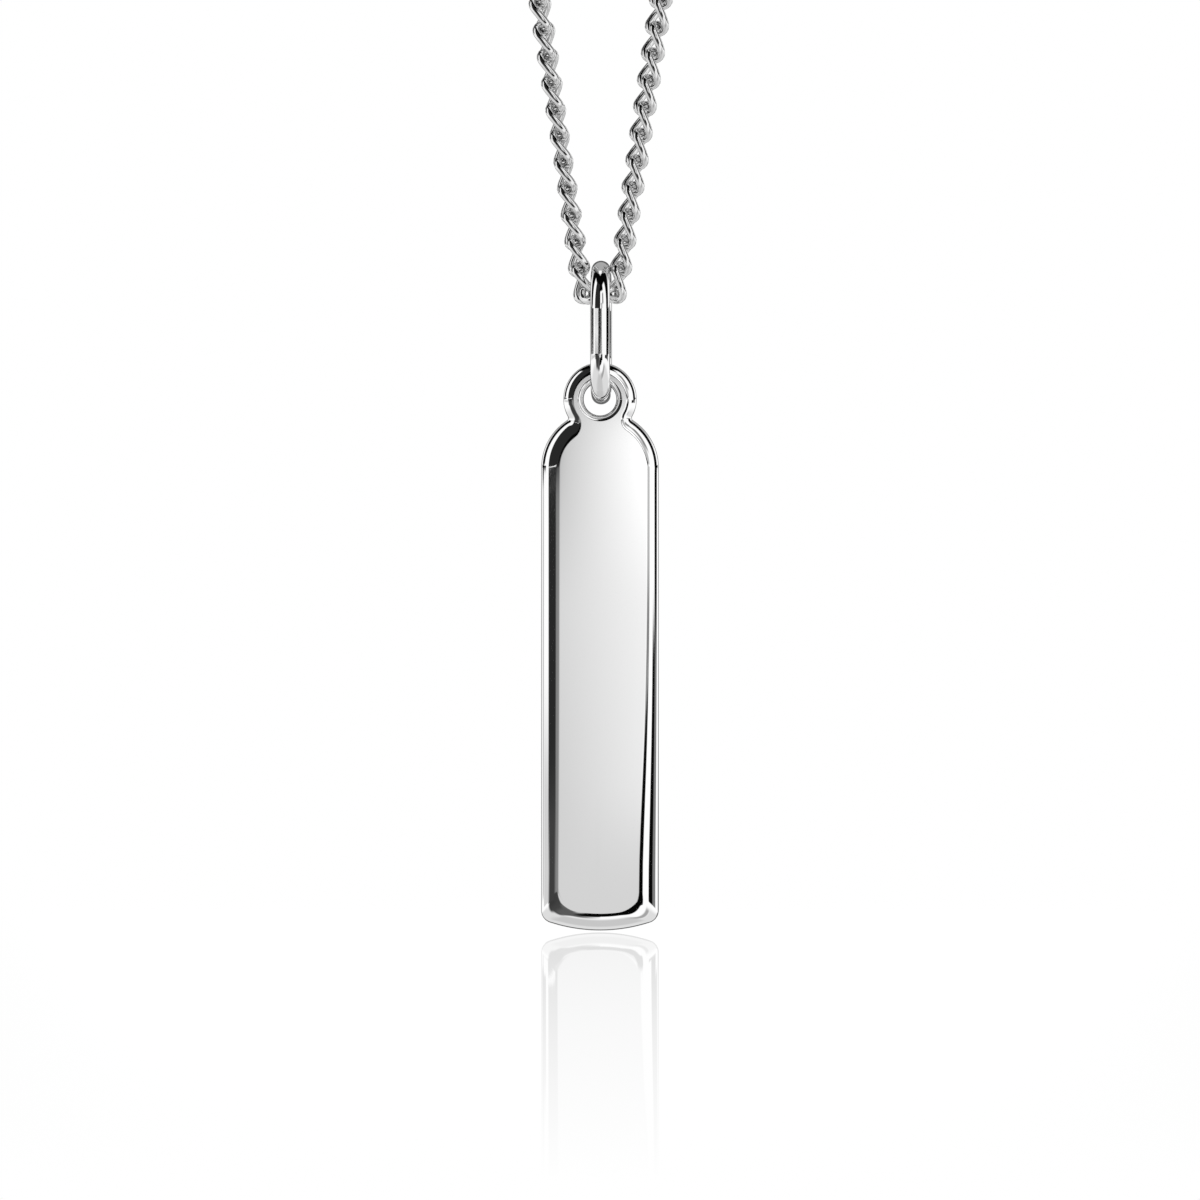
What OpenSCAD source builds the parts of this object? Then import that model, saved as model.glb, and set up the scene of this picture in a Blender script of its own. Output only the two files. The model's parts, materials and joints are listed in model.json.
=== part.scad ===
// Bar pendant on a fine curb chain, in polished silver.
// Millimetres. +Z is up, +X is to the right and the front faces -Y.
// The origin is the hang point, the highest point inside the neck loop, on the underside of the clasp.

/* [Bar] */
// Width across the straight sides
bar_w = 6.0; // [5.6:0.1:8]
// Height from the top of the lobe to the lowest point of the foot
bar_h = 29.0; // [20:0.5:40]
// Thickness from the face to the back
bar_t = 1.4; // [1.3:0.05:1.6]
// Width of the rolled edge on the front, along the sides and the foot
roll_w = 0.95; // [0.6:0.05:1.1]
// Depth of the rolled edge on the front
roll_t = 0.5; // [0.3:0.05:0.7]
// Radius of the eased edge on the back
back_r = 0.25; // [0.1:0.05:0.35]
// Radius of the shoulders
shoulder_r = 2.9; // [2.4:0.1:3.3]
// Drop from the hole's centre to the level where the shoulders reach the full width
shoulder_drop = 3.5; // [3.3:0.1:4.2]
// Radius of the fillet in the notch between the lobe and a shoulder
notch_r = 0.12; // [0.05:0.01:0.3]
// Radius of the shallow curve of the foot
foot_r = 8.2; // [6:0.2:20]
// Radius of the foot's corners at the outline
corner_r = 0.65; // [0.3:0.05:1]
// Radius of the foot's corners where the rolled edge meets the face
face_corner_r = 1.3; // [0.6:0.05:1.6]

/* [Lobe and hole] */
// Diameter of the round lobe at the top
lobe_d = 3.74; // [3.5:0.02:4.2]
// Width of the rolled edge round the lobe
lobe_roll_w = 0.5; // [0.3:0.05:0.7]
// Diameter of the hole
hole_d = 1.66; // [1.6:0.02:1.9]
// Width of the rounded rims of the hole
rim_w = 0.3; // [0.2:0.02:0.4]
// Depth of the rounded rims of the hole
rim_t = 0.45; // [0.35:0.01:0.6]

/* [Jump ring] */
// Diameter of the ring's wire
ring_wire = 1.0; // [0.7:0.02:1.04]
// Outer height of the ring
ring_h = 7.35; // [6.5:0.05:9]
// Outer width of the ring, from front to back
ring_w = 5.0; // [4.8:0.1:6]
// Clearance between the ring's wire and the top of the hole
seat_gap = 0.1; // [0.09:0.01:0.15]
// Clearance between the inside of the ring's top and the turning circle of the link in it
bail_gap = 0.05; // [0.03:0.01:0.2]

/* [Chain] */
// Length of the whole loop, clasp included
chain_length = 450; // [380:10:600]
// Distance from one link to the next
link_pitch = 1.38; // [1.36:0.01:1.5]
// Diameter of the chain's wire
link_wire = 0.31; // [0.28:0.01:0.33]
// Outer width of a link
link_w = 1.3; // [1.26:0.01:1.4]
// Play between two links along the chain
link_gap = 0.14; // [0.13:0.01:0.16]
// Twist of a link from end to end, in degrees
link_twist = 100; // [94:1:104]
// Roll of the chain's flat about its own length, in degrees
chain_roll = 112; // [108:1:116]
// Lean of each strand of the V from the vertical, in degrees
v_angle = 8.45; // [8:0.05:12]
// Distance of a strand's line from the middle, at the level of the lowest link
v_half_gap = 0.87; // [0.86:0.01:1]
// Links of each strand that are modelled one by one
front_links = 14; // [6:1:20]

/* [Clasp] */
// Outer diameter of the clasp's ring
clasp_d = 5.0; // [4:0.1:7]
// Diameter of the wire of the clasp's ring
clasp_wire = 1.0; // [0.8:0.05:1.4]
// Outer diameter of an eye of the clasp
eye_d = 1.7; // [1.5:0.05:2.2]
// Diameter of an eye's wire
eye_wire = 0.4; // [0.3:0.02:0.5]
// Gap between an eye and the end of the chain
eye_gap = 0.1; // [0.1:0.05:0.3]

/* [Hidden] */
$fn = 64;

silver = [0.84, 0.84, 0.85];
bright_silver = [0.90, 0.90, 0.91];
chain_silver = [0.76, 0.76, 0.78];
// Length by which a cutter passes the faces that it cuts
over = 0.2;

// Steps along each stretch of half the bar's outline, and across its rolled and eased edges
lobe_steps = 12;
notch_steps = 4;
shoulder_steps = 8;
corner_steps = 5;
foot_steps = 4;
roll_steps = 8;
back_steps = 2;
rim_steps = 4;

// Steps round each end and along each leg of a link, and sides of its wire
bow_steps = 5;
leg_steps = 3;
wire_sides = 6;

// Stretches of the plain run along its straight and round its bend, and its sides
straight_steps = 24;
bend_steps = 14;
run_sides = 8;

// The first link on each side, next to the link that lies across inside the ring. It hangs on that link's end,
// so it stands a little off the strand's line. Lengths are shares of the link pitch, angles are in degrees.
// columns: across from the middle, back from the middle plane, lean, roll
RIGHT_FIRST = [0.661, -0.18, 11.2, 101];
LEFT_FIRST = [0.662, 0.17, 12.4, 75];
// Height of both first links above the lowest link, as a share of the link pitch
first_rise = 0.415;
// Roll of the lowest link about its own length, in degrees
lowest_roll = 98;
// Links over which the first link's roll and offset fade into the strand's own
fade_links = 9;

// Places in the chain
lean_in = sin(v_angle);
lean_up = cos(v_angle);
first_at = first_rise * link_pitch / lean_up;
links_end = first_at + (front_links - 0.5) * link_pitch;
end_across = v_half_gap + links_end * lean_in;
end_up = links_end * lean_up;
links_length = (front_links + 0.5) * link_pitch;
// Radius of the round top that leaves the loop its whole length
loop_r = (chain_length / 2 - links_length + end_across / lean_in)
    / (lean_up / lean_in + PI / 2 + v_angle * PI / 180);
straight_length = (loop_r * lean_up - end_across) / lean_in;
eye_across = clasp_d / 2 - eye_wire / 2 + eye_d / 2;
clasp_z = clasp_wire / 2;
loop_z = clasp_z - sqrt(pow(loop_r, 2) - pow(eye_across, 2));
lowest_z = loop_z - loop_r * lean_in - straight_length * lean_up - end_up;

// Places in the ring and the bar
ring_inner_top = lowest_z + link_w / 2 + bail_gap;
ring_bow_r = (ring_w - ring_wire) / 2;
ring_leg = ring_h - ring_w;
ring_top_z = ring_inner_top + ring_wire / 2 - ring_bow_r;
ring_seat_z = ring_top_z - ring_leg - ring_bow_r;
hole_z = ring_seat_z - (hole_d / 2 - ring_wire / 2 - seat_gap);

function polar(centre, r, angle) = centre + r * [cos(angle), sin(angle)];

function arc(centre, r, from, to, steps) =
    [for (i = [0 : steps]) polar(centre, r, from + (to - from) * i / steps)];

function drop_first(list) = [for (i = [1 : len(list) - 1]) list[i]];

function reversed(list) = [for (i = [len(list) - 1 : -1 : 0]) list[i]];

// The bar's outline, about the hole's centre, in X and Z
lobe_r = lobe_d / 2;
shoulder_at = [bar_w / 2 - shoulder_r, -shoulder_drop];
foot_at = [0, foot_r + lobe_r - bar_h];

// Angle at the near end of the first side of a triangle with these three sides
function triangle_angle(base, near, far) = acos((pow(base, 2) + pow(near, 2) - pow(far, 2)) / (2 * base * near));

// Radius of a foot corner at an inset, which grows towards the face
function corner_at_inset(inset) = corner_r + (face_corner_r - corner_r) * inset / roll_w;

// The right half of the outline, from the top of the lobe to the middle of the foot, set in by one amount
// round the lobe and by another elsewhere. The fillet of the notch touches the lobe's circle and the
// shoulder's circle from outside, at any inset.
function half_outline(inset, lobe_inset) =
    let (lobe = lobe_r - lobe_inset)
    let (shoulder = shoulder_r - inset)
    let (notch = notch_r + (inset + lobe_inset) / 2)
    let (notch_turn = triangle_angle(norm(shoulder_at), lobe + notch, shoulder + notch))
    let (notch_angle = atan2(shoulder_at[1], shoulder_at[0]) + notch_turn)
    let (notch_at = polar([0, 0], lobe + notch, notch_angle))
    let (shoulder_angle = atan2(notch_at[1] - shoulder_at[1], notch_at[0] - shoulder_at[0]))
    let (corner = corner_at_inset(inset))
    let (corner_x = bar_w / 2 - inset - corner)
    let (corner_z = foot_at[1] - sqrt(pow(foot_r - inset - corner, 2) - pow(corner_x, 2)))
    let (corner_end = atan2(corner_z - foot_at[1], corner_x))
    concat(
        arc([0, 0], lobe, 90, notch_angle, lobe_steps),
        drop_first(arc(notch_at, notch, notch_angle + 180, shoulder_angle + 180, notch_steps)),
        drop_first(arc(shoulder_at, shoulder, shoulder_angle, 0, shoulder_steps)),
        arc([corner_x, corner_z], corner, 0, corner_end, corner_steps),
        drop_first(arc(foot_at, foot_r - inset, corner_end, -90, foot_steps))
    );

// The whole outline at one depth, its left half without the two points on the middle line
function ring_at(half, y) = concat(
    [for (p = half) [p[0], y, p[1]]],
    [for (i = [len(half) - 2 : -1 : 1]) [-half[i][0], y, half[i][1]]]
);

// The rolled edge on the front and the eased edge on the back are quarters of an ellipse and of a circle
function front_ring(turn) =
    let (in = 1 - cos(turn))
    ring_at(half_outline(roll_w * in, lobe_roll_w * in), -bar_t / 2 + roll_t * (1 - sin(turn)));

function back_ring(turn) =
    let (in = back_r * (1 - cos(turn)))
    ring_at(half_outline(in, in), bar_t / 2 - back_r * (1 - sin(turn)));

// A flat cap over a ring that starts on the middle line and is the same on both sides of it,
// as rungs from each point to the one across from it
function rungs(n, first) = [for (i = [0 : n / 2 - 1])
    i == 0 ? [first, first + 1, first + n - 1]
    : i == n / 2 - 1 ? [first + i, first + i + 1, first + i + 2]
    : [first + i, first + i + 1, first + n - i - 1, first + n - i]];

// Rings of points joined into a closed skin, with a flat cap at each end or closed end to end
module skin(rings, closed = false) {
    n = len(rings[0]);
    count = len(rings);
    last = closed ? count - 1 : count - 2;
    sides = [for (j = [0 : last]) for (i = [0 : n - 1])
        let (a = j * n + i)
        let (b = j * n + (i + 1) % n)
        let (c = ((j + 1) % count) * n + (i + 1) % n)
        let (d = ((j + 1) % count) * n + i)
        each [[a, b, c], [a, c, d]]];
    caps = closed ? [] : concat(
        [for (rung = rungs(n, 0)) reversed(rung)],
        rungs(n, (count - 1) * n)
    );
    polyhedron(points = [for (ring = rings) each ring], faces = concat(sides, caps));
}

// The drill for the hole: a true cylinder whose ends flare round the rims, on quarters of an ellipse.
// The last stretch of each flare runs on straight past the face.
rim_outer = hole_d / 2 + rim_w;
drill_end = bar_t / 2 + over;

function rim_point(turn) = [rim_outer - rim_w * cos(turn), bar_t / 2 - rim_t + rim_t * sin(turn)];

rim_last = rim_point(90 * (rim_steps - 1) / rim_steps);
rim_past = 2 * rim_point(90) - rim_last;
flare = concat(
    [for (i = [0 : rim_steps - 1]) rim_point(90 * i / rim_steps)],
    [rim_past, [rim_past[0], drill_end], [0, drill_end]]
);

module hole_drill() {
    rotate([90, 0, 0])
    rotate_extrude()
    polygon(concat(flare, reversed([for (p = flare) [p[0], -p[1]]])));
}

module bar() {
    front = [for (j = [roll_steps : -1 : 0]) front_ring(90 * j / roll_steps)];
    back = [for (j = [0 : back_steps]) back_ring(90 * j / back_steps)];
    color(bright_silver)
    translate([0, 0, hole_z])
    difference() {
        skin(reversed(concat(front, back)));
        hole_drill();
    }
}

// Half of the round end of the ring, as a true torus in the YZ plane
module ring_bow(up) {
    rotate([0, 0, 90])
    rotate([up ? 90 : -90, 0, 0])
    rotate_extrude(angle = 180)
    translate([ring_bow_r, 0]) circle(d = ring_wire);
}

module jump_ring() {
    color(bright_silver)
    translate([0, 0, ring_top_z]) {
        ring_bow(true);
        translate([0, 0, -ring_leg]) ring_bow(false);
        for (side = [-1, 1]) {
            translate([0, side * ring_bow_r, -ring_leg]) cylinder(d = ring_wire, h = ring_leg);
        }
    }
}

// A link's own size: half its length and half its width along the middle of the wire
link_half_l = (link_pitch + link_gap + link_wire) / 2;
link_half_w = (link_w - link_wire) / 2;
link_leg = link_half_l - link_half_w;

// The flat oval of a link, as [across, along], from the start of its upper bow
oval = concat(
    arc([0, link_leg], link_half_w, 0, 180, bow_steps),
    [for (i = [1 : leg_steps - 1]) [-link_half_w, link_leg * (1 - 2 * i / leg_steps)]],
    arc([0, -link_leg], link_half_w, 180, 360, bow_steps),
    [for (i = [1 : leg_steps - 1]) [link_half_w, link_leg * (2 * i / leg_steps - 1)]]
);

// A point of the oval once the link is twisted about its length
function twisted(p) =
    let (turn = -link_twist / 2 * p[1] / link_half_l)
    [p[0] * cos(turn), p[0] * sin(turn), p[1]];

function unit(v) = v / norm(v);

// A ring of wire round a point of a link, square to its wire
function wire_ring(path, i) =
    let (n = len(path))
    let (along = unit(path[(i + 1) % n] - path[(i + n - 1) % n]))
    let (out = unit(path[i] - along * (path[i] * along)))
    let (beside = cross(along, out))
    [for (k = [0 : wire_sides - 1])
        let (a = 360 * (k + 0.5) / wire_sides)
        path[i] + link_wire / 2 * (cos(a) * out - sin(a) * beside)];

link_path = [for (p = oval) twisted(p)];
link_rings = [for (i = [0 : len(link_path) - 1]) wire_ring(link_path, i)];

// One curb link about a centre. The chain runs down the left strand, across and up the right one,
// and heading is its direction there, in degrees from straight up towards +X.
module link(centre, heading, roll) {
    translate(centre)
    rotate([0, heading, 0])
    rotate([0, 0, roll])
    skin(link_rings, closed = true);
}

// Link number k of a strand, counted up from the first one
module strand_link(side, first, k) {
    fade = max(0, 1 - k / fade_links);
    at = first_at + k * link_pitch;
    across = k == 0 ? first[0] * link_pitch : v_half_gap + at * lean_in;
    lean = k == 0 ? first[2] : v_angle;
    link(
        [side * across, fade * first[1] * link_pitch, lowest_z + at * lean_up],
        side > 0 ? lean : 180 - lean,
        chain_roll + (first[3] - chain_roll) * fade
    );
}

module chain_links() {
    color(chain_silver) {
        link([0, 0, lowest_z], 90, lowest_roll);
        for (k = [0 : front_links - 1]) {
            strand_link(1, RIGHT_FIRST, k);
            strand_link(-1, LEFT_FIRST, k);
        }
    }
}

// The run's path on the right: up the strand's line, then round the top to the clasp's eye
run_start = links_end + link_gap + link_wire;
run_line_end = links_end + straight_length;
run_top = acos((eye_across + eye_d / 2 + eye_gap) / loop_r);
run_path = concat(
    [for (i = [0 : straight_steps - 1])
        let (at = run_start + (run_line_end - run_start) * i / straight_steps)
        [v_half_gap + at * lean_in, lowest_z + at * lean_up]],
    arc([0, loop_z], loop_r, -v_angle, run_top, bend_steps)
);

function run_ring(path, i) =
    let (along = unit(path[min(i + 1, len(path) - 1)] - path[max(i - 1, 0)]))
    let (r = link_w / 2)
    [for (k = [0 : run_sides - 1])
        let (a = 360 * k / run_sides)
        [path[i][0] + r * cos(a) * along[1], r * sin(a), path[i][1] - r * cos(a) * along[0]]];

module chain_run() {
    color(chain_silver)
    for (side = [0, 1]) {
        mirror([side, 0, 0]) skin([for (i = [len(run_path) - 1 : -1 : 0]) run_ring(run_path, i)]);
    }
}

module clasp() {
    color(silver)
    translate([0, 0, clasp_z]) {
        rotate_extrude() translate([(clasp_d - clasp_wire) / 2, 0]) circle(d = clasp_wire);
        for (side = [-1, 1]) {
            translate([side * eye_across, 0, 0])
            rotate([90, 0, 0])
            rotate_extrude() translate([(eye_d - eye_wire) / 2, 0]) circle(d = eye_wire);
        }
    }
}

bar();
jump_ring();
chain_links();
chain_run();
clasp();
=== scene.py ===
# %% [markdown]
# # A bar pendant on a curb chain
# A narrow bar of polished silver hangs by an oval jump ring from the lowest link of a fine curb
# chain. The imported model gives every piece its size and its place. This lesson dresses that frame:
# each piece is made again with smooth surfaces, gets the finish of polished silver, and rides on
# the body that it belongs to. Everything is in metres, +Z is up and the front faces -Y.

# %% Load the frame
import json
import math

import bmesh
import bpy
from mathutils import Matrix, Vector


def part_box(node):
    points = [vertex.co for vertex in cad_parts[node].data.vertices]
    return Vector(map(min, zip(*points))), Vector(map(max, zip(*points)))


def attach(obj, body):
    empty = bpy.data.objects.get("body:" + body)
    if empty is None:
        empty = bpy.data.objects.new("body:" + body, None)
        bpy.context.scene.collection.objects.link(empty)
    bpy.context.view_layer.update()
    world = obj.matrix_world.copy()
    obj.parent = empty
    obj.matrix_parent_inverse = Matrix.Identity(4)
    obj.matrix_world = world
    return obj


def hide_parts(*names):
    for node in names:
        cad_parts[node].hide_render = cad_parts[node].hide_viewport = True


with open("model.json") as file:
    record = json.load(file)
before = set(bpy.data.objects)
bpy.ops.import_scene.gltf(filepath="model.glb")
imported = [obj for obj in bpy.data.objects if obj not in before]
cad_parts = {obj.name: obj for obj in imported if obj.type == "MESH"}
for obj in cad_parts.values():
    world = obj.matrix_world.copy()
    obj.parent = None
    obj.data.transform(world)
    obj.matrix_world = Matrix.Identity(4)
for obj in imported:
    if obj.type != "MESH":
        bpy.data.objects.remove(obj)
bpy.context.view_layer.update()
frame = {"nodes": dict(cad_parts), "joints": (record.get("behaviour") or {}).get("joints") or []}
MM = 0.001
print("nodes:", sorted(frame["nodes"]))

# %% [markdown]
# The joints say where things hang. The bail swings about the lowest link, and the bar swings about
# the ring's lowest turn. All heights below are worked out from these two points and from the boxes
# of the nodes, so no piece needs fitting by eye.

# %% Heights from the frame
pivots = {joint["name"]: Vector(joint["pos_m"]) for joint in frame["joints"]}
lowest_link_z = pivots["bail_swing"].z
ring_seat_z = pivots["bar_swing"].z
bar_low, bar_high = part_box("bar")
ring_low, ring_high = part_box("jump_ring")
print(f"lowest link at {lowest_link_z / MM:.2f} mm")
print(f"bar from {bar_low.z / MM:.2f} to {bar_high.z / MM:.2f} mm")

# %% [markdown]
# A few helpers serve every piece. A finished bmesh becomes a mesh, and a mesh becomes an object:
# doubles are merged first, then the normals are made to point outwards, then all faces are shaded
# smooth. The last helper says in one line which body a piece rides on, which nodes it stands for
# and which finish it takes.

# %% Helpers for finished pieces
MERGE = 1e-7


def mesh_from(bm, name):
    mesh = bpy.data.meshes.new(name)
    bm.to_mesh(mesh)
    bm.free()
    return mesh


def make_object(name, bm):
    bmesh.ops.remove_doubles(bm, verts=bm.verts, dist=MERGE)
    bmesh.ops.recalc_face_normals(bm, faces=bm.faces)
    mesh = mesh_from(bm, name)
    mesh.polygons.foreach_set("use_smooth", [True] * len(mesh.polygons))
    piece = bpy.data.objects.new(name, mesh)
    bpy.context.scene.collection.objects.link(piece)
    print(f"{name}: {len(mesh.vertices)} points, {len(mesh.polygons)} faces")
    return piece


def dress(piece, body, material, slot, *nodes):
    piece.data.materials.append(material)
    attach(piece, body)
    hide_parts(*nodes)


# %% [markdown]
# ## The finishes
# All the pieces are sterling silver, an alloy that polishes to a mirror. Real silver reflects about
# 95 % of the light and its own colour is a barely warm white, so nearly all that the eye sees is
# the room around it. The bar is buffed on a soft wheel, which leaves a true mirror with the face
# very slightly crowned. The chain is tumbled, so its wire keeps a softer gloss.

# %% Colours and nodes
def linear(value):
    """The amount of light for a tone between 0 and 1, as it looks on a screen."""
    return value / 12.92 if value <= 0.04045 else ((value + 0.055) / 1.055) ** 2.4


def colour(hex_code):
    return (*(linear(int(hex_code[i : i + 2], 16) / 255) for i in (0, 2, 4)), 1.0)


def add_node(tree, kind, links=None, **settings):
    node = tree.nodes.new(kind)
    for name, value in settings.items():
        setattr(node, name, value)
    for key, source in (links or {}).items():
        if isinstance(source, bpy.types.NodeSocket):
            tree.links.new(source, node.inputs[key])
        else:
            node.inputs[key].default_value = source
    return node


# %% [markdown]
# Three shorthands keep the recipes readable. One empties the node tree of a material or of the sky.
# One calculates with numbers or sockets. One finds how far a value is on its way between two limits
# and gives the same share of the way between two others.

# %% Shorthands for nodes
def empty_tree(owner):
    owner.use_nodes = True
    owner.node_tree.nodes.clear()
    return owner.node_tree


def calculate(tree, operation, *values):
    node = add_node(tree, "ShaderNodeMath", dict(enumerate(values)), operation=operation)
    return node.outputs["Value"]


def remap(tree, value, low, high, to_low=0.0, to_high=1.0, **settings):
    limits = {"Value": value, "From Min": low, "From Max": high, "To Min": to_low, "To Max": to_high}
    return add_node(tree, "ShaderNodeMapRange", limits, **settings).outputs["Result"]


# %% [markdown]
# One recipe makes all the silver. A metal needs no texture image: its look is its colour, its
# roughness and how flat it is. Three things break the computer's perfect surface. Buffing leaves
# faint hairlines, a few hundredths of a millimetre apart, that only widen the reflections a little.
# Handling leaves soft patches a few millimetres across where the gloss is duller. And no polished
# face is flat: a long, very shallow swell bends the reflections. The hairlines are drawn 0.06 mm
# apart, which is about one pixel of the picture, since true ones would be too fine to show.

# %% Polished silver
HAIRLINE = 0.06 * MM
HAIRLINE_DEPTH = 0.000004 * MM
ALONG_TO_ACROSS = 0.02
PATCH = 2.5 * MM
PATCH_FROM = 0.35
PATCH_TO = 0.75
WAVE = 6 * MM
BAR_CROWN_R = 80 * MM


def polished_silver(name, tint, roughness, duller, swell, crown_radius=None):
    material = bpy.data.materials.new(name)
    tree = empty_tree(material)
    place = add_node(tree, "ShaderNodeTexCoord").outputs["Object"]
    # Duller patches: the roughness follows a soft noise
    patches = add_node(tree, "ShaderNodeTexNoise", {"Vector": place, "Scale": 1 / PATCH, "Detail": 3.0})
    gloss = remap(tree, patches.outputs["Fac"], PATCH_FROM, PATCH_TO, roughness, duller)
    # Hairlines run along the piece, so the noise is squeezed across it and stretched along its height
    squeeze = (1 / HAIRLINE, 1 / HAIRLINE, ALONG_TO_ACROSS / HAIRLINE)
    along = add_node(tree, "ShaderNodeMapping", {"Vector": place, "Scale": squeeze}).outputs["Vector"]
    hairlines = add_node(tree, "ShaderNodeTexNoise", {"Vector": along, "Scale": 1.0, "Detail": 2.0})
    height = calculate(tree, "MULTIPLY", hairlines.outputs["Fac"], HAIRLINE_DEPTH)
    # The long swell that a buffing wheel leaves
    waves = add_node(tree, "ShaderNodeTexNoise", {"Vector": place, "Scale": 1 / WAVE, "Detail": 0.0})
    height = calculate(tree, "MULTIPLY_ADD", waves.outputs["Fac"], swell, height)
    if crown_radius:
        # A crowned face drops by half the square of the way from its middle, over the crown's radius
        across = add_node(tree, "ShaderNodeSeparateXYZ", {0: place}).outputs["X"]
        squared = calculate(tree, "MULTIPLY", across, across)
        height = calculate(tree, "MULTIPLY_ADD", squared, -0.5 / crown_radius, height)
    relief = add_node(tree, "ShaderNodeBump", {"Height": height, "Strength": 1.0, "Distance": 1.0})
    finish = {
        "Base Color": colour(tint),
        "Metallic": 1.0,
        "Roughness": gloss,
        "Normal": relief.outputs["Normal"],
    }
    surface = add_node(tree, "ShaderNodeBsdfPrincipled", finish).outputs["BSDF"]
    add_node(tree, "ShaderNodeOutputMaterial", {"Surface": surface})
    return material


# In each call: the colour, the roughness, that of the duller patches and the depth of the swell
bar_silver = polished_silver("buffed_sterling_silver", "F8F8F8", 0.03, 0.035, 0.0002 * MM, BAR_CROWN_R)
ring_silver = polished_silver("polished_silver_wire", "F6F6F6", 0.03, 0.06, 0.0004 * MM)
# The chain's colour E8E8E8 is darker than the bar's. It is silver's own colour plus painted shade that
# darkens the whole chain, standing in for the shade among its crowded links.
chain_silver = polished_silver("tumbled_silver_chain", "E8E8E8", 0.03, 0.07, 0.0004 * MM)
clasp_silver = polished_silver("polished_silver_clasp", "F4F4F4", 0.06, 0.12, 0.0004 * MM)
print("finishes:", [m.name for m in (bar_silver, ring_silver, chain_silver, clasp_silver)])

# %% [markdown]
# ## The bar
# The real bar is sawn or stamped from sheet, then filed and buffed until its front edge rolls over
# into the side. A bevel would give that roll the same width all round, but a hand-buffed one isn't
# even: here it is tight on the right shoulder and opens out towards the foot. So the bar is built
# as rings. Each ring is the outline at one depth of the roll, traced by spinning a point about the
# centre of each arc, and neighbouring rings are bridged.

# %% Sizes of the bar
BAR_T = bar_high.y - bar_low.y
HALF_W = (bar_high.x - bar_low.x) / 2
LOBE_R = 3.74 / 2 * MM
SHOULDER_R = 2.9 * MM
SHOULDER_DROP = 3.5 * MM
NOTCH_R = 0.12 * MM
FOOT_R = 8.2 * MM
CORNER_R = 0.65 * MM
HOLE_R = 1.66 / 2 * MM
RIM_W = 0.3 * MM
RIM_T = 0.45 * MM
hole_z = bar_high.z - LOBE_R

# %% [markdown]
# The roll at each place has a width on the face and a depth down the side. The sides are straight
# lines from shoulder to foot, and the roll changes along them by an easing curve that starts late,
# because the edge on the right stays narrow for a third of its length.

# %% How wide and deep the edges roll
# columns: width of the roll on the face, depth of the roll down the side
FRONT_ROLL = {
    "lobe": (0.53 * MM, 0.47 * MM),
    "left_shoulder": (0.95 * MM, 0.70 * MM),
    "left_foot": (0.90 * MM, 0.68 * MM),
    "right_shoulder": (0.62 * MM, 0.56 * MM),
    "right_foot": (1.10 * MM, 1.00 * MM),
    "foot": (0.92 * MM, 0.86 * MM),
}
BACK_EDGE = 0.25 * MM
BACK_ROLL = {place: (BACK_EDGE, BACK_EDGE) for place in FRONT_ROLL}
FRONT_CORNER_R = 1.3 * MM
BACK_CORNER_R = 0.82 * MM
STEPS = {"lobe": 28, "notch": 8, "shoulder": 20, "side": 14, "corner": 12, "foot": 12}


def ease(share):
    return share * share * (3 - 2 * share)


def ease_late(share):
    return ease(share * share)


def between(a, b, share):
    return a + (b - a) * share


# %% [markdown]
# A spin turns a point about a centre and leaves an arc behind it. The axis is +Y, so a positive
# turn runs clockwise as seen from the front. Each arc ends where the next one starts, because
# neighbouring arcs touch, so one point can walk from the top of the lobe to the middle of the foot.
# The left half is the same walk with x and the turn reversed.

# %% The arcs of half the outline
def triangle_angle(base, near, far):
    return math.acos((base**2 + near**2 - far**2) / (2 * base * near))


def half_outline(lobe_in, shoulder_in, side_in, foot_in, corner):
    """Centre, in X and Z, and clockwise turn of each arc, for an outline set in by these amounts."""
    lobe = LOBE_R - lobe_in
    shoulder = SHOULDER_R - shoulder_in
    shoulder_at = Vector((HALF_W - SHOULDER_R, -SHOULDER_DROP))
    notch = NOTCH_R + (shoulder_in + lobe_in) / 2
    notch_angle = math.atan2(shoulder_at.y, shoulder_at.x) + triangle_angle(
        shoulder_at.length, lobe + notch, shoulder + notch
    )
    notch_at = Vector((math.cos(notch_angle), math.sin(notch_angle))) * (lobe + notch)
    shoulder_angle = math.atan2(notch_at.y - shoulder_at.y, notch_at.x - shoulder_at.x)
    foot_z = FOOT_R + LOBE_R - (bar_high.z - bar_low.z)
    corner_x = HALF_W - side_in - corner
    corner_z = foot_z - math.sqrt((FOOT_R - foot_in - corner) ** 2 - corner_x**2)
    corner_end = math.atan2(corner_z - foot_z, corner_x)
    return {
        "lobe": (Vector((0, 0)), math.pi / 2 - notch_angle),
        "notch": (notch_at, notch_angle - shoulder_angle),
        "shoulder": (shoulder_at, shoulder_angle),
        "side": (Vector((HALF_W - side_in, corner_z)), 0),
        "corner": (Vector((corner_x, corner_z)), -corner_end),
        "foot": (Vector((0, foot_z)), corner_end + math.pi / 2),
    }


# %% [markdown]
# The walk itself. Where the outline is straight the point is extruded instead of spun. Each stretch
# knows the roll it starts with and the roll it ends with, and the point's depth passes from one to
# the other.

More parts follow.
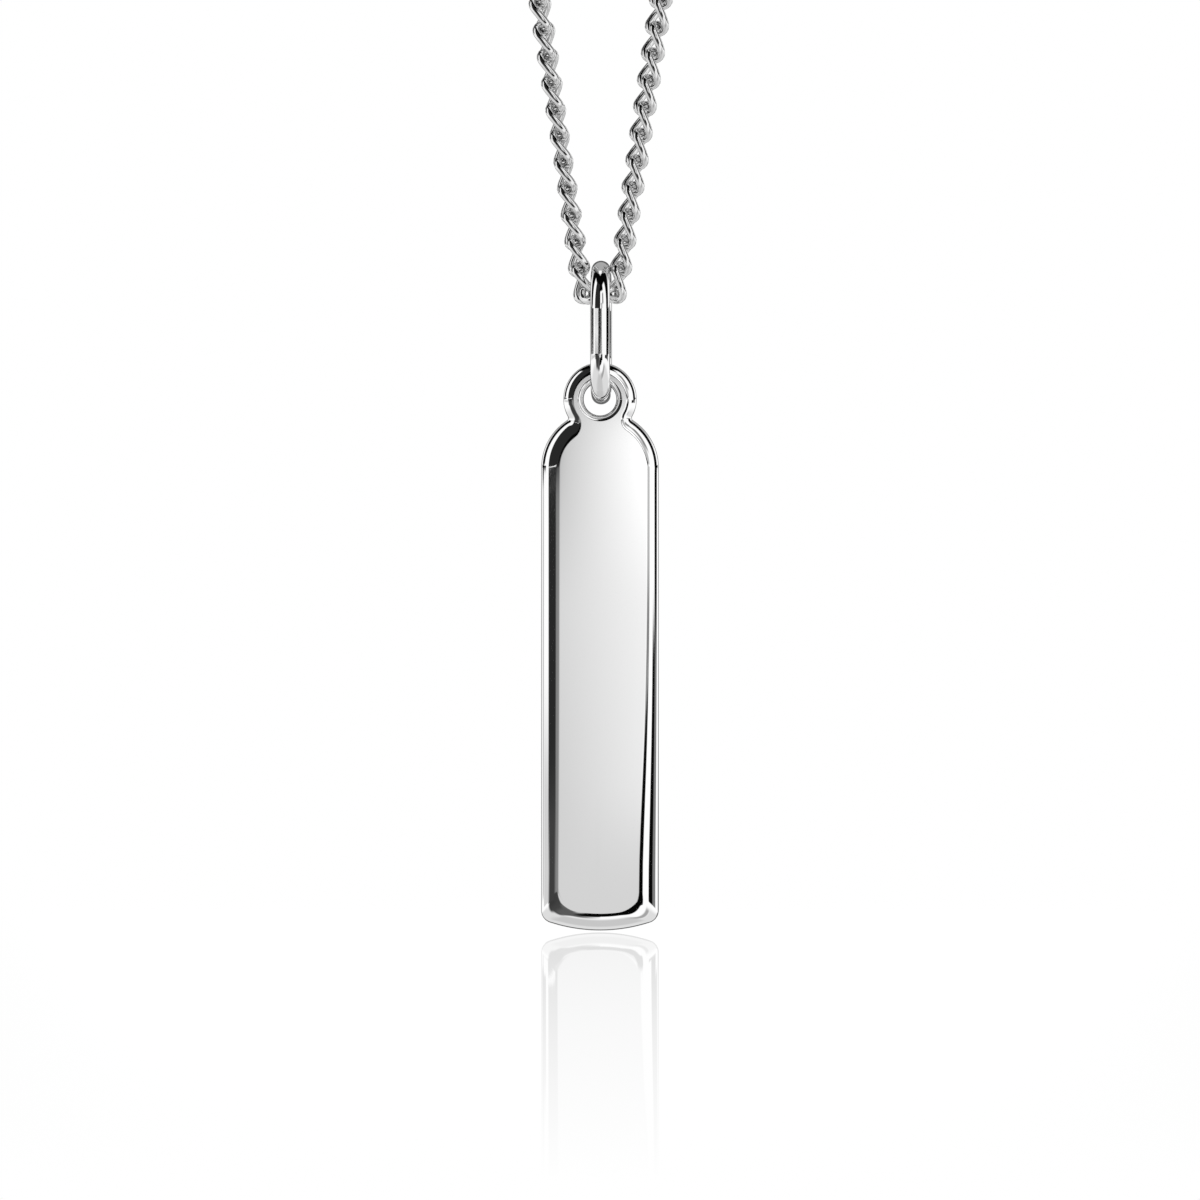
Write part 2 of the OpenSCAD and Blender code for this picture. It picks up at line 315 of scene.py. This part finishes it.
# %% Walk along half the outline
def trace_half(bm, side, face, width, drop):
    """Trace one half, set in by a share of the roll's width and sunk by a share of its depth."""
    hand = "right" if side > 0 else "left"
    roll = FRONT_ROLL if face < 0 else BACK_ROLL
    lobe, top, low, foot = (roll[key] for key in ("lobe", hand + "_shoulder", hand + "_foot", "foot"))
    corner = between(CORNER_R, FRONT_CORNER_R if face < 0 else BACK_CORNER_R, width)
    arcs = half_outline(lobe[0] * width, top[0] * width, low[0] * width, foot[0] * width, corner)
    ends = {
        "lobe": (lobe, lobe),
        "notch": (lobe, top),
        "shoulder": (top, top),
        "side": (top, low),
        "corner": (low, foot),
        "foot": (foot, foot),
    }
    walk = [bm.verts.new((0, 0, LOBE_R - lobe[0] * width))]
    depths = [lobe[1]]
    for stretch, (centre, turn) in arcs.items():
        before, after = ends[stretch]
        steps = STEPS[stretch]
        if stretch == "side":
            insets = (before[0] * width, after[0] * width)
            walk += extrude_side(bm, walk[-1], side, centre.y, *insets, steps)
        else:
            walk += spin_point(bm, walk[-1], (side * centre.x, 0, centre.y), side * turn, steps)
        curve = ease_late if stretch == "side" else ease
        depths += [between(before[1], after[1], curve((i + 1) / steps)) for i in range(steps)]
    for vert, depth in zip(walk, depths):
        vert.co.y = face * (BAR_T / 2 - depth * drop)
    return walk


def verts_in(geom):
    return [item for item in geom if isinstance(item, bmesh.types.BMVert)]


def spin_point(bm, vert, centre, turn, steps):
    points = []
    for _ in range(steps):
        made = bmesh.ops.spin(
            bm, geom=[vert], cent=centre, axis=(0, 1, 0), dvec=(0, 0, 0), angle=turn / steps, steps=1
        )
        vert = verts_in(made["geom_last"])[0]
        points.append(vert)
    return points


def extrude_side(bm, vert, side, low_z, inset_top, inset_low, steps):
    points = []
    top_z = vert.co.z
    for i in range(1, steps + 1):
        share = i / steps
        inset = between(inset_top, inset_low, ease_late(share))
        vert = bmesh.ops.extrude_vert_indiv(bm, verts=[vert])["verts"][0]
        vert.co = (side * (HALF_W - inset), 0, between(top_z, low_z, share))
        points.append(vert)
    return points


# %% [markdown]
# Two halves make a closed ring once their shared points at the top and at the foot are merged. The
# roll is a quarter of an ellipse, so equal steps of its angle give narrow rings near the side,
# where it is steep, and wide ones near the face.

# %% Rings and bridges
def edges_at(verts):
    return list({edge for vert in verts if vert.is_valid for edge in vert.link_edges})


def outline_ring(bm, face, width, drop):
    """One closed ring of the outline, as its edges. The front's face is -1 and the back's is 1."""
    verts = trace_half(bm, 1, face, width, drop) + trace_half(bm, -1, face, width, drop)
    bmesh.ops.remove_doubles(bm, verts=verts, dist=MERGE)
    return edges_at(verts)


def circle_ring(bm, radius, y):
    """One closed ring round the hole, as its edges."""
    upright = Matrix.Translation((0, y, 0)) @ Matrix.Rotation(math.pi / 2, 4, "X")
    made = bmesh.ops.create_circle(
        bm, cap_ends=False, segments=HOLE_SIDES, radius=radius, matrix=upright
    )
    return edges_at(made["verts"])


def resize(bm, factor):
    bmesh.ops.scale(bm, vec=(factor, factor, factor), verts=bm.verts)


def bridge(bm, rings):
    """Join neighbouring rings. The operator can't tell tiny rings apart, so they are enlarged first."""
    resize(bm, 1 / MM)
    for near, far in zip(rings, rings[1:]):
        bmesh.ops.bridge_loops(bm, edges=near + far)
    resize(bm, MM)


# %% [markdown]
# The skin runs from a support ring on the front flat, over the front roll, down the side, round the
# back's small eased edge and on to a support ring on the back. The hole has a rounded rim on each
# face and a straight wall. Each flat is then filled between its outline and the hole. The support
# rings lie just inside the flats, so that smooth shading can't tilt them.

# %% Build the bar
ROLL_STEPS = 40
BACK_STEPS = 8
RIM_STEPS = 12
HOLE_SIDES = 112
SUPPORT = 0.04
quarter = math.pi / 2


def quarter_steps(steps):
    return [quarter * i / steps for i in range(steps + 1)]


def rim_ring(bm, face, turn):
    y = face * (BAR_T / 2 - RIM_T * (1 - math.sin(turn)))
    return circle_ring(bm, HOLE_R + RIM_W * (1 - math.cos(turn)), y)


def fill_flat(bm, outline, hole):
    resize(bm, 1 / MM)
    bmesh.ops.triangle_fill(bm, use_beauty=True, use_dissolve=False, edges=outline + hole)
    resize(bm, MM)


def build_bar():
    bm = bmesh.new()
    front = [outline_ring(bm, -1, 1 - math.cos(t), 1 - math.sin(t)) for t in quarter_steps(ROLL_STEPS)]
    back = [outline_ring(bm, 1, 1 - math.cos(t), 1 - math.sin(t)) for t in quarter_steps(BACK_STEPS)]
    front.append(outline_ring(bm, -1, 1 + SUPPORT, 0))
    back.append(outline_ring(bm, 1, 1 + SUPPORT, 0))
    bridge(bm, front[::-1] + back)
    rims = {}
    for face in (-1, 1):
        rims[face] = [rim_ring(bm, face, t) for t in quarter_steps(RIM_STEPS)]
        rims[face].append(circle_ring(bm, HOLE_R + RIM_W * (1 + SUPPORT), face * BAR_T / 2))
    bridge(bm, rims[-1][::-1] + rims[1])
    fill_flat(bm, front[-1], rims[-1][-1])
    fill_flat(bm, back[-1], rims[1][-1])
    bmesh.ops.translate(bm, verts=bm.verts, vec=(0, 0, hole_z))
    return make_object("bar_pendant", bm)


bar = build_bar()
dress(bar, "pendant", bar_silver, "bar_silver", "bar")

# %% [markdown]
# ## The jump ring
# A jeweller winds wire round an oval former, saws the coil open and solders each ring shut. Seen
# from the front it stands edge-on: the near leg of the oval covers the far one. A circle of wire is
# spun half a turn over the top, extruded down the far leg, spun half a turn below and extruded up
# to its start. It never hangs perfectly square, so it is turned by a degree and a half about its
# near leg, and a sliver of the far leg shows on the right, as it does in the picture.

# %% Build the jump ring
RING_WIRE = ring_high.x - ring_low.x
ring_bow_r = (ring_high.y - ring_low.y - RING_WIRE) / 2
ring_leg = ring_high.z - ring_low.z - 2 * ring_bow_r - RING_WIRE
ring_top = ring_high.z - RING_WIRE / 2 - ring_bow_r
RING_TURN = math.radians(-1.6)
WIRE_SIDES = 40
BOW_STEPS = 48
LEG_END = 0.03 * MM


def edges_in(geom):
    return [item for item in geom if isinstance(item, bmesh.types.BMEdge)]


def spin_bow(bm, edges, centre, axis, turn, steps):
    verts = list({vert for edge in edges for vert in edge.verts})
    made = bmesh.ops.spin(
        bm,
        geom=verts + edges,
        cent=centre,
        axis=axis,
        dvec=(0, 0, 0),
        angle=turn,
        steps=steps,
        use_duplicate=False,
    )
    return edges_in(made["geom_last"])


def extrude_leg(bm, edges, direction):
    """A straight leg, with a short piece at each end that keeps the shading of the bow off it."""
    for length in (LEG_END, ring_leg - 2 * LEG_END, LEG_END):
        made = bmesh.ops.extrude_edge_only(bm, edges=edges)["geom"]
        bmesh.ops.translate(bm, verts=verts_in(made), vec=(0, 0, direction * length))
        edges = edges_in(made)
    return edges


def build_jump_ring():
    bm = bmesh.new()
    near_leg = Matrix.Translation((0, -ring_bow_r, ring_top))
    circle = bmesh.ops.create_circle(
        bm, cap_ends=False, segments=WIRE_SIDES, radius=RING_WIRE / 2, matrix=near_leg
    )
    over_top = spin_bow(bm, edges_at(circle["verts"]), (0, 0, ring_top), (1, 0, 0), -math.pi, BOW_STEPS)
    far_leg = extrude_leg(bm, over_top, -1)
    below = spin_bow(bm, far_leg, (0, 0, ring_top - ring_leg), (1, 0, 0), -math.pi, BOW_STEPS)
    extrude_leg(bm, below, 1)
    turned = Matrix.Rotation(RING_TURN, 3, "Z")
    bmesh.ops.rotate(bm, verts=bm.verts, cent=(0, -ring_bow_r, 0), matrix=turned)
    return make_object("oval_jump_ring", bm)


jump_ring = build_jump_ring()
dress(jump_ring, "bail", ring_silver, "ring_silver", "jump_ring")

# %% [markdown]
# ## The chain
# A curb chain is a plain cable chain that has been twisted and pressed, so that its links lie over
# each other at a slant. One link is a flat oval of round wire, turned by 130 degrees from end to
# end. A flat mesh oval could be twisted, but that would squash its wire. So circles of wire are set
# along the twisted line, square to it, and bridged into a ring. The wire then stays round
# everywhere.

# %% One curb link
WIRE_R = 0.40 / 2 * MM
LINK_HALF_W = 0.50 * MM
LINK_HALF_L = 0.91 * MM
LINK_TWIST = math.radians(130)


def oval_line(bow_steps, leg_steps):
    """Points of the twisted oval along the middle of its wire."""
    leg = LINK_HALF_L - LINK_HALF_W
    flat = []
    for end in (1, -1):
        for i in range(bow_steps + 1):
            turn = math.pi * i / bow_steps
            x = LINK_HALF_W * math.cos(turn)
            z = leg + LINK_HALF_W * math.sin(turn)
            flat.append((end * x, end * z))
        for i in range(1, leg_steps):
            flat.append((-end * LINK_HALF_W, end * leg * (1 - 2 * i / leg_steps)))
    turns = [-LINK_TWIST / 2 * along / LINK_HALF_L for _, along in flat]
    return [Vector((x * math.cos(t), x * math.sin(t), z)) for (x, z), t in zip(flat, turns)]


def link_mesh(name, bow_steps, leg_steps, sides):
    bm = bmesh.new()
    line = oval_line(bow_steps, leg_steps)
    rings = []
    for before, point, after in zip(line[-1:] + line[:-1], line, line[1:] + line[:1]):
        along = (after - before).normalized()
        out = (point - along * point.dot(along)).normalized()
        square = Matrix((out, along.cross(out), along)).transposed().to_4x4()
        made = bmesh.ops.create_circle(
            bm, cap_ends=False, segments=sides, radius=WIRE_R, matrix=Matrix.Translation(point) @ square
        )
        rings.append(edges_at(made["verts"]))
    bridge(bm, rings + rings[:1])
    bmesh.ops.recalc_face_normals(bm, faces=bm.faces)
    return mesh_from(bm, name)


fine_link = link_mesh("fine_link", bow_steps=14, leg_steps=7, sides=14)
plain_link = link_mesh("plain_link", bow_steps=4, leg_steps=2, sides=6)
print("faces of a link near the pendant:", len(fine_link.polygons))
print("faces of a link behind the neck:", len(plain_link.polygons))

# %% [markdown]
# The chain is one path: down the left strand, across through the ring and up the right strand, then
# round the top to the clasp. Each strand leaves the lowest link along a straight line that leans
# outwards, and bends into a round top that touches that line. The round top's radius follows from
# the two heights that the frame gives, the clasp's and the lowest link's.

# %% The path of a strand
PITCH = 1.38 * MM
LEAN = math.radians(8.45)
HALF_GAP = 0.87 * MM
CHAIN_ROLL = {1: 112, -1: 103}
clasp_low, clasp_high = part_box("clasp")
clasp_z = (clasp_low.z + clasp_high.z) / 2
CLASP_D = clasp_high.y - clasp_low.y
EYE_D = clasp_high.z - clasp_low.z
CLASP_WIRE = 1.0 * MM
EYE_WIRE = 0.4 * MM
eye_x = clasp_high.x - EYE_D / 2


def round_top():
    """Radius and centre height of the arc through the eyes that touches both leaning lines."""
    rise = clasp_z - lowest_link_z + HALF_GAP / math.tan(LEAN)
    a = 1 / math.sin(LEAN)
    half_b = a * rise
    radius = (half_b - math.sqrt(half_b**2 - (a**2 - 1) * (rise**2 + eye_x**2))) / (a**2 - 1)
    return radius, clasp_z - math.sqrt(radius**2 - eye_x**2)


top_r, top_z = round_top()
line_end = (top_r * math.cos(LEAN) - HALF_GAP) / math.sin(LEAN)
eye_at = line_end + top_r * (math.acos(eye_x / top_r) + LEAN)
print(f"round top of radius {top_r / MM:.2f} mm")
print(f"half the chain is {eye_at / MM:.1f} mm to the clasp's eye")


def on_strand(at):
    """Place in X and Z, and heading in radians, at a distance along the right strand."""
    if at < line_end:
        return HALF_GAP + at * math.sin(LEAN), lowest_link_z + at * math.cos(LEAN), LEAN
    turn = (at - line_end) / top_r - LEAN
    return top_r * math.cos(turn), top_z + top_r * math.sin(turn), -turn


# %% [markdown]
# The two links beside the lowest one hang on its ends, so they stand a little off the strand's line
# and are rolled a little differently. That difference fades over the next links. Behind the neck
# the links are spread by a hair, so that the last one hooks the clasp's eye.

# %% Place the links
# columns: across from the middle and back from the middle plane, as shares of the pitch, lean, roll
FIRST_LINK = {1: (0.661, -0.18, 11.2, 101), -1: (0.662, 0.17, 12.4, 75)}
FIRST_RISE = 0.415
LOWEST_ROLL = 98
FADE_LINKS = 9
FRONT_LINKS = 14
LAST_HOOK = 1.15 * MM


def link_places():
    """The distance of each link along a strand, from the first one to the one in the clasp's eye."""
    first_at = FIRST_RISE * PITCH / math.cos(LEAN)
    last_at = eye_at - LAST_HOOK
    front = [first_at + k * PITCH for k in range(FRONT_LINKS)]
    more = round((last_at - front[-1]) / PITCH)
    return front + [between(front[-1], last_at, (k + 1) / more) for k in range(more)]


def link_matrix(side, k, at):
    across, height, heading = on_strand(at)
    fade = max(0, 1 - k / FADE_LINKS)
    first = FIRST_LINK[side]
    if k == 0:
        across, heading = first[0] * PITCH, math.radians(first[2])
    roll = math.radians(between(CHAIN_ROLL[side], first[3], fade))
    if side < 0:
        heading = math.pi - heading
    place = Matrix.Translation((side * across, first[1] * PITCH * fade, height))
    return place @ Matrix.Rotation(heading, 4, "Y") @ Matrix.Rotation(roll, 4, "Z")


def add_link(bm, mesh, matrix):
    count = len(bm.verts)
    bm.from_mesh(mesh)
    bm.verts.ensure_lookup_table()
    bmesh.ops.transform(bm, matrix=matrix, verts=bm.verts[count:])


places = link_places()
front = bmesh.new()
behind = bmesh.new()
lowest = Matrix.Rotation(math.pi / 2, 4, "Y") @ Matrix.Rotation(math.radians(LOWEST_ROLL), 4, "Z")
add_link(front, fine_link, Matrix.Translation((0, 0, lowest_link_z)) @ lowest)
for side in (1, -1):
    for k, at in enumerate(places):
        if k < FRONT_LINKS:
            add_link(front, fine_link, link_matrix(side, k, at))
        else:
            add_link(behind, plain_link, link_matrix(side, k, at))
print(f"{2 * len(places) + 1} links in the whole chain")
chain_front = make_object("curb_chain_front", front)
chain_behind = make_object("curb_chain_behind", behind)
dress(chain_front, "chain", chain_silver, "chain_silver", "chain_links")
dress(chain_behind, "chain", chain_silver, "chain_silver", "chain_run")

# %% [markdown]
# ## The clasp
# The picture doesn't show how the chain closes. Such chains end in a small ring clasp with an eye
# on each side, so that is what stands here, as one plain closed piece. Each of its three rings is a
# circle of wire spun a full turn, with the ends merged.

# %% Build the clasp
def wire_ring(bm, centre, axis, radius, wire, steps, sides):
    """A closed ring of wire about an axis, which is Y or Z."""
    section = Matrix.Translation(centre + Vector((radius, 0, 0)))
    if axis == "Z":
        section = section @ Matrix.Rotation(math.pi / 2, 4, "X")
    made = bmesh.ops.create_circle(bm, cap_ends=False, segments=sides, radius=wire / 2, matrix=section)
    bmesh.ops.spin(
        bm,
        geom=made["verts"] + edges_at(made["verts"]),
        cent=centre,
        axis=(0, 1, 0) if axis == "Y" else (0, 0, 1),
        dvec=(0, 0, 0),
        angle=2 * math.pi,
        steps=steps,
        use_merge=True,
    )


def build_clasp():
    bm = bmesh.new()
    middle = Vector((0, 0, clasp_z))
    wire_ring(bm, middle, "Z", (CLASP_D - CLASP_WIRE) / 2, CLASP_WIRE, steps=96, sides=28)
    for side in (-1, 1):
        eye = Vector((side * eye_x, 0, clasp_z))
        wire_ring(bm, eye, "Y", (EYE_D - EYE_WIRE) / 2, EYE_WIRE, steps=48, sides=16)
    return make_object("ring_clasp", bm)


clasp = build_clasp()
dress(clasp, "chain", clasp_silver, "clasp_silver", "clasp")

# %% [markdown]
# ## The camera
# The picture is taken straight from the front, level, from far enough away that the bar's sides
# look parallel. The middle of the picture lies between the chain and the foot, and the picture is
# 61 mm wide at the pendant. The lens follows from that width and the distance.

# %% Camera
PICTURE_W = 61.27 * MM
MIDDLE_BELOW_HOLE = 10.25 * MM
DISTANCE = 500 * MM
SENSOR = 36.0
CLIP_START = 10 * MM
camera_data = bpy.data.cameras.new("camera")
camera_data.sensor_width = SENSOR
camera_data.lens = SENSOR * DISTANCE / PICTURE_W
camera_data.clip_start = CLIP_START
camera = bpy.data.objects.new("camera", camera_data)
camera.location = (0, -DISTANCE, hole_z - MIDDLE_BELOW_HOLE)
camera.rotation_euler = (math.pi / 2, 0, 0)
bpy.context.scene.collection.objects.link(camera)
bpy.context.scene.camera = camera
bpy.context.scene.view_settings.view_transform = "Standard"
print(f"lens {camera_data.lens:.0f} mm at {DISTANCE / MM:.0f} mm")

# %% [markdown]
# ## The studio
# Polished silver shows nothing but its surroundings, so the light is designed as a set of cards
# round the object, as a product photographer does. The room is white. A dark flag on the left draws
# the broad dark stripe along the bar's left edge, narrow dark strips beside the silver on both
# sides draw the thin lines, and a dark card overhead draws the patch on the ring's bow. The cards
# are painted on the sky, by direction, and only reflections and light see them: the camera sees
# plain white.

# %% Cards that stand upright
# Directions are in degrees. The first is the turn from straight in front, positive to the right, and
# the second is the height above level. Tones are as they look, from 0 for black to 1 for white.
# columns: turn from, turn to, softness, height from, height to, softness, tone
UPRIGHT_CARDS = {
    "shade on the face at the foot": (-9, 15, 3, -6, -1.38, 0.7, 0.85),
    "shade on the lobe": (-9, 14, 4, 1.12, 1.8, 0.16, 0.81),
    "left strip": (-124, -105, 3, 0.9, 66, 0.6, 0.03),
    "left strip below the top": (-122, -104, 4, -3, 0.9, 0.6, 0.78),
    "left grey beside the flag": (-100, -55, 6, -4, -0.7, 0.8, 0.84),
    "right strip": (83, 108, 3, -4, 66, 1, 0.03),
    "right strip widens": (60, 85, 3, -5, -0.5, 0.9, 0.03),
    "right strip fades": (86, 110, 5, -5, -0.6, 1.0, 0.50),
    "overhead": (-112, 112, 4, 55, 87, 5, 0.02),
    "overhead towards the lens": (-34, 40, 10, 42, 60, 5, 0.02),
    "left flag softens": (-26, -6, 6, -2.6, 0.9, 0.5, 0.53),
    "left flag": (-62, -4, 3, 0.75, 60, 0.4, 0.16),
    "left flag below the top": (-62, -21, 7, -1.3, 0.95, 0.5, 0.16),
    "left flag at the foot": (-58, -22, 14, -8, -1.0, 0.6, 0.25),
    "gap in the flag": (-86, -20, 4, 1.41, 1.86, 0.08, 1.0),
    "right edge": (9, 29, 4, 0.0, 14, 0.6, 0.76),
    "right edge lower down": (9, 29, 4, -0.9, 0.1, 0.6, 0.52),
    "right edge higher up": (26, 42, 6, 12, 36, 6, 0.55),
    "gap beside the right edge": (18, 80, 3, 1.38, 2.3, 0.12, 1.0),
    "right edge at the foot": (11, 29, 3, -12, -0.9, 0.5, 0.02),
    "left strip of the ring": (-130, -81, 2, 1.38, 3, 0.12, 0.02),
    "right strip of the ring": (81, 129, 2, 1.38, 3, 0.12, 0.02),
}

# %% [markdown]
# From the ring's height upwards there is a dark gap straight in front. It draws the thin line down
# the middle of the ring's wire. The bar's mirror image in the sheet below would show that gap too,
# so there it is closed: what is reflected for a second time sees one even card instead.

# %% The gap in front of the ring
GAP_CARDS = {
    "dark gap": (-11, 19, 3, 1.40, 2.4, 0.14, 0.03),
    "dark gap higher up": (-11, 3, 3, 2.3, 50, 0.2, 0.03),
}
MIRRORED_CARDS = {
    "front card in the sheet": (-10, 16, 4, 0.4, 12, 0.5, 0.85),
}

# %% [markdown]
# At the foot and round the lobe the edge turns with the outline, so its cards are bent round the
# lens axis instead. The clock angle says in which direction from the lens a card lies, 0 for up and
# positive to the right, and the second angle says how far off the lens axis it is.

# %% Cards that follow the outline round
# columns: clock from, clock to, softness, off-axis from, off-axis to, softness, tone
ROUND_CARDS = {
    "outline": (-190, 190, 1, 143, 174, 6, 0.36),
    "outline at the foot, right": (104, 190, 8, 134, 177, 6, 0.42),
    "outline at the foot, left": (-190, -104, 8, 134, 177, 6, 0.42),
    "above and behind": (-60, 60, 30, 104, 150, 4, 0.68),
    "right strip over the top": (14, 91, 4, 78, 112, 4, 0.02),
    "left strip over the top": (-86, -16, 5, 93, 123, 4, 0.03),
    "foot light right": (108, 190, 14, 62, 132, 18, 0.89),
    "foot light left": (-190, -108, 14, 62, 132, 18, 0.89),
    "foot grey left": (-150, -112, 20, 40, 76, 20, 0.89),
    "foot grey to the left": (-190, -150, 24, 44, 100, 18, 0.80),
    "foot grey to the right": (158, 190, 16, 44, 100, 18, 0.80),
    "foot line to the corner": (112, 164, 12, 47, 62, 8, 0.66),
    "corner softens": (-160, -112, 12, 8, 24, 4, 0.42),
    "notch softens": (-126, -92, 8, 8, 26, 4, 0.25),
    "notch left": (-132, -92, 14, 20, 52, 12, 0.23),
    "corner left": (-156, -118, 20, 14, 44, 10, 0.27),
    "foot edge left": (-176, -134, 14, 11, 38, 10, 0.36),
    "foot edge from the middle left": (-190, -166, 8, 3, 27, 4, 0.02),
    "foot edge right": (112, 190, 8, 6, 25, 3, 0.02),
}


# %% [markdown]
# A card is a window in each of its two angles, with soft borders. The cards are laid over the light
# one after the other, so a later card covers an earlier one. A card of tone 1 is as bright as the
# room, which is a little brighter than white.

# %% Paint the cards
ROOM = 1.06


def window(tree, value, low, high, soft):
    """1 between low and high and 0 outside, with soft borders."""
    smooth = {"interpolation_type": "SMOOTHSTEP"}
    rise = remap(tree, value, low - soft / 2, low + soft / 2, **smooth)
    fall = remap(tree, value, high - soft / 2, high + soft / 2, 1.0, 0.0, **smooth)
    return calculate(tree, "MULTIPLY", rise, fall)


def lay_over(tree, light, card, cover):
    # Inputs 2 and 3 are the two plain numbers that this node mixes
    links = {0: cover, 2: light, 3: card}
    return add_node(tree, "ShaderNodeMix", links, data_type="FLOAT").outputs[0]


def paint_cards(tree, light, cards, first, second, share=None):
    """Lay the cards over the light, one after the other. A share weakens them all alike."""
    for low, high, soft, from_second, to_second, soft_second, tone in cards.values():
        across = window(tree, first, low, high, soft)
        upright = window(tree, second, from_second, to_second, soft_second)
        cover = calculate(tree, "MULTIPLY", across, upright)
        if share is not None:
            cover = calculate(tree, "MULTIPLY", cover, share)
        light = lay_over(tree, light, ROOM if tone == 1 else linear(tone), cover)
    return light


# %% [markdown]
# The card straight in front falls off gently: it is a little darker towards the left and towards
# the floor. Since the bar's face is almost flat, it shows only the few degrees round the lens, and
# this slope is the soft shading that the eye sees on it. Just above level the slope to the side
# gets steeper.

# %% The front card
FRONT_ACROSS = (-9, 15, 3)
FRONT_UPRIGHT = (-9, 9, 3)
FRONT_LIGHT = 0.833
PER_DEGREE_RIGHT = 0.030
MORE_HIGHER_UP = 0.07
PER_DEGREE_UP = 0.048
# degrees between which each slope runs
TURN_RANGE = (-8.0, 8.0)
HEIGHT_RANGE = (-2.5, 1.6)
STEEPER_RANGE = (0.0, 0.9)


def clamp(tree, value, low, high):
    limits = {"Value": value, "Min": low, "Max": high}
    return add_node(tree, "ShaderNodeClamp", limits).outputs["Result"]


def front_card(tree, turn, height):
    higher_up = clamp(tree, height, *STEEPER_RANGE)
    per_degree = calculate(tree, "MULTIPLY_ADD", higher_up, MORE_HIGHER_UP, PER_DEGREE_RIGHT)
    slope = calculate(tree, "MULTIPLY_ADD", clamp(tree, turn, *TURN_RANGE), per_degree, FRONT_LIGHT)
    slope = calculate(tree, "MULTIPLY_ADD", clamp(tree, height, *HEIGHT_RANGE), PER_DEGREE_UP, slope)
    across = window(tree, turn, *FRONT_ACROSS)
    upright = window(tree, height, *FRONT_UPRIGHT)
    return lay_over(tree, ROOM, slope, calculate(tree, "MULTIPLY", across, upright))


# %% [markdown]
# The sky puts it together. A direction gives four angles: turn and height for the upright cards,
# clock and off-axis for the round ones. The gap is painted only for light that comes off one
# surface on its way to the lens. The sky counts itself as a step, so such light has a ray depth of
# 2 there.

# %% Build the studio
ONE_REFLECTION = 2.5
WHITE = (1, 1, 1, 1)


def degrees(tree, operation, *values):
    return calculate(tree, "DEGREES", calculate(tree, operation, *values))


def build_studio():
    world = bpy.data.worlds.new("studio")
    bpy.context.scene.world = world
    # Silver meets the sky by reflection alone, so the sky needs no map for sampling
    world.cycles.sampling_method = "NONE"
    tree = empty_tree(world)
    direction = add_node(tree, "ShaderNodeTexCoord").outputs["Generated"]
    right, back, up = add_node(tree, "ShaderNodeSeparateXYZ", {0: direction}).outputs
    ahead = calculate(tree, "MULTIPLY", back, -1.0)
    turn = degrees(tree, "ARCTAN2", right, ahead)
    height = degrees(tree, "ARCSINE", up)
    clock = degrees(tree, "ARCTAN2", right, up)
    off_axis = degrees(tree, "ARCCOSINE", ahead)
    light = front_card(tree, turn, height)
    light = paint_cards(tree, light, ROUND_CARDS, clock, off_axis)
    light = paint_cards(tree, light, UPRIGHT_CARDS, turn, height)
    path = add_node(tree, "ShaderNodeLightPath").outputs
    first = calculate(tree, "LESS_THAN", path["Ray Depth"], ONE_REFLECTION)
    later = calculate(tree, "SUBTRACT", 1.0, first)
    light = paint_cards(tree, light, GAP_CARDS, turn, height, first)
    light = paint_cards(tree, light, MIRRORED_CARDS, turn, height, later)
    cards = add_node(tree, "ShaderNodeBackground", {"Color": WHITE, "Strength": light}).outputs[0]
    backdrop = add_node(tree, "ShaderNodeBackground", {"Color": WHITE, "Strength": 1.0}).outputs[0]
    sky = add_node(tree, "ShaderNodeMixShader", {0: path["Is Camera Ray"], 1: cards, 2: backdrop})
    add_node(tree, "ShaderNodeOutputWorld", {"Surface": sky.outputs[0]})


build_studio()
print("cards:", sum(map(len, (UPRIGHT_CARDS, GAP_CARDS, MIRRORED_CARDS, ROUND_CARDS))))

# %% [markdown]
# ## The floor
# The pendant hangs with its foot just above a white glossy sheet. The sheet shows a weak mirror
# image that fades towards the lens. Only a strip below the pendant is glossy, so that the sheet
# stays white from every other side. The camera sees the sheet, but the silver doesn't: below level
# it shows the cards.

# %% Floor
FLOOR_SIZE = 4.0
FLOOR_GAP = 0.05 * MM
FADE_LENGTH = 215 * MM
MIRROR_SHARE = 0.30
STRIP_WIDTH = 60 * MM
SHEET_ROUGHNESS = 0.02


def white_sheet():
    material = bpy.data.materials.new("glossy_white_acrylic")
    tree = empty_tree(material)
    place = add_node(tree, "ShaderNodeTexCoord").outputs["Object"]
    axes = add_node(tree, "ShaderNodeSeparateXYZ", {0: place}).outputs
    fade = remap(tree, axes["Y"], -FADE_LENGTH, 0.0, 0.0, MIRROR_SHARE)
    across = window(tree, axes["X"], -STRIP_WIDTH / 2, STRIP_WIDTH / 2, STRIP_WIDTH / 3)
    behind = window(tree, axes["Y"], -2 * FADE_LENGTH, STRIP_WIDTH / 2, STRIP_WIDTH / 3)
    share = calculate(tree, "MULTIPLY", fade, calculate(tree, "MULTIPLY", across, behind))
    body = add_node(tree, "ShaderNodeEmission", {"Color": WHITE, "Strength": 1.0})
    gloss = add_node(tree, "ShaderNodeBsdfGlossy", {"Color": WHITE, "Roughness": SHEET_ROUGHNESS})
    mix = add_node(tree, "ShaderNodeMixShader", {0: share, 1: body.outputs[0], 2: gloss.outputs[0]})
    add_node(tree, "ShaderNodeOutputMaterial", {"Surface": mix.outputs[0]})
    return material


def build_floor():
    bm = bmesh.new()
    level = Matrix.Translation((0, 0, bar_low.z - FLOOR_GAP))
    bmesh.ops.create_grid(bm, x_segments=1, y_segments=1, size=FLOOR_SIZE / 2, matrix=level)
    sheet = bpy.data.objects.new("floor", mesh_from(bm, "floor"))
    bpy.context.scene.collection.objects.link(sheet)
    sheet.data.materials.append(white_sheet())
    sheet.visible_glossy = False
    sheet.visible_diffuse = False
    return sheet


floor = build_floor()
